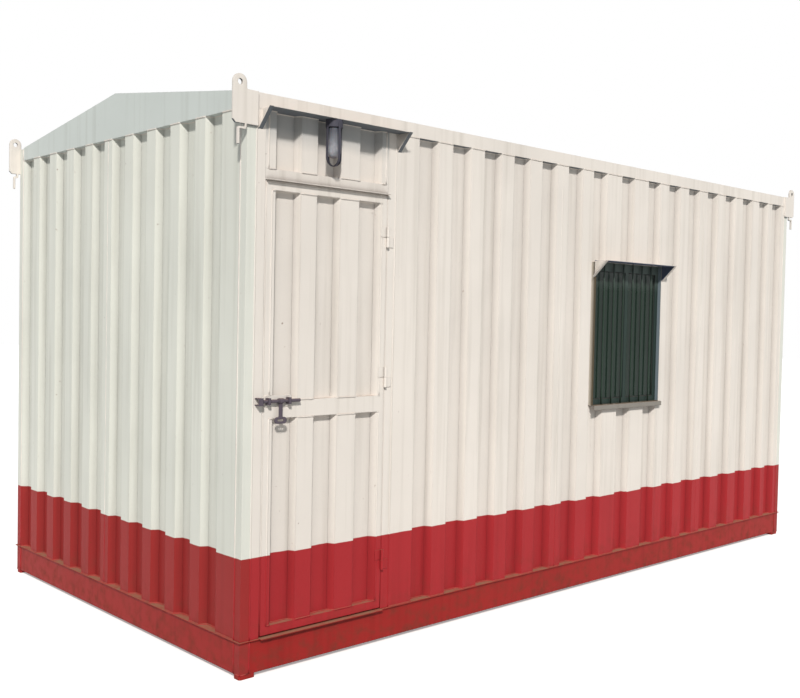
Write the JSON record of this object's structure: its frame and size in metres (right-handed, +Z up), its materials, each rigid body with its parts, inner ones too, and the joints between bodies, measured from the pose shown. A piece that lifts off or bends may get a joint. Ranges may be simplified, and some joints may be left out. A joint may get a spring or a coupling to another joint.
{
  "type": "portable site cabin",
  "caption": "Steel site cabin with corrugated walls, low gable roof, hinged door with sliding bolt, hooded window and lifting lugs.",
  "frame": {"origin": "on the ground, under the middle of everything that the cabin reaches", "axes": "+X along the long side, away from the door end; +Y from the front wall, with the door and the window, to the back wall; +Z up"},
  "size_m": [5.146, 2.56, 2.77],
  "materials": {
    "cream_paint": "satin",
    "two_tone_paint": "satin",
    "red_paint": "satin",
    "grey_paint": "satin",
    "dark_paint": "worn",
    "window_metal": "satin",
    "window_pane": "gloss",
    "lamp_globe": "gloss",
    "floor_board": "worn",
    "lining_board": "satin"
  },
  "bodies": {
    "cabin": {"bottom_rail_front": "red_paint", "bottom_rail_back": "red_paint", "bottom_rails_end": "red_paint", "corner_feet": "red_paint", "corner_posts": "two_tone_paint", "floor_joists": "red_paint", "floor_deck": "floor_board", "top_rail_front": "cream_paint", "top_rail_back": "cream_paint", "lifting_lugs": "cream_paint", "end_wall_left": "two_tone_paint", "end_wall_right": "two_tone_paint", "back_wall": "two_tone_paint", "front_wall_over_door": "cream_paint", "front_wall_middle": "two_tone_paint", "front_wall_right": "two_tone_paint", "front_wall_under_window": "two_tone_paint", "front_wall_over_window": "cream_paint", "door_jamb_left": "two_tone_paint", "door_jamb_right": "two_tone_paint", "door_head": "cream_paint", "gable_left": "cream_paint", "gable_right": "cream_paint", "roof_front": "grey_paint", "roof_back": "grey_paint", "ridge_cap": "grey_paint", "door_canopy": "cream_paint", "lamp_holder": "dark_paint", "lamp_glass": "lamp_globe", "window_frame": "window_metal", "window_glass": "window_pane", "window_hood": "cream_paint", "window_sill": "cream_paint", "hinge_halves_jamb": "two_tone_paint", "bolt_keeper": "dark_paint", "lining_back": "lining_board", "lining_ends": "lining_board", "lining_front": "lining_board", "ceiling": "lining_board"},
    "door": {"door_leaf_frame": "two_tone_paint", "door_leaf_sheets": "two_tone_paint", "door_inner_skin": "cream_paint", "hinge_halves_leaf": "two_tone_paint", "bolt_guides": "dark_paint"},
    "bolt": {"door_bolt": "dark_paint"},
    "hasp": {"bolt_hasp": "dark_paint"}
  },
  "joints": [
    {"name": "door_swing", "type": "hinge", "parent": "cabin", "child": "door", "pos_m": [-1.659, -1.191, 1.2], "axis": [0, 0, 1], "range_deg": [0, 170]},
    {"name": "bolt_slide", "type": "slide", "parent": "door", "child": "bolt", "axis": [-1, 0, 0], "range_m": [0, 0.04]},
    {"name": "hasp_swing", "type": "hinge", "parent": "bolt", "child": "hasp", "pos_m": [-2.3, -1.199, 1.24], "axis": [-1, 0, 0], "range_deg": [0, 170]}
  ]
}
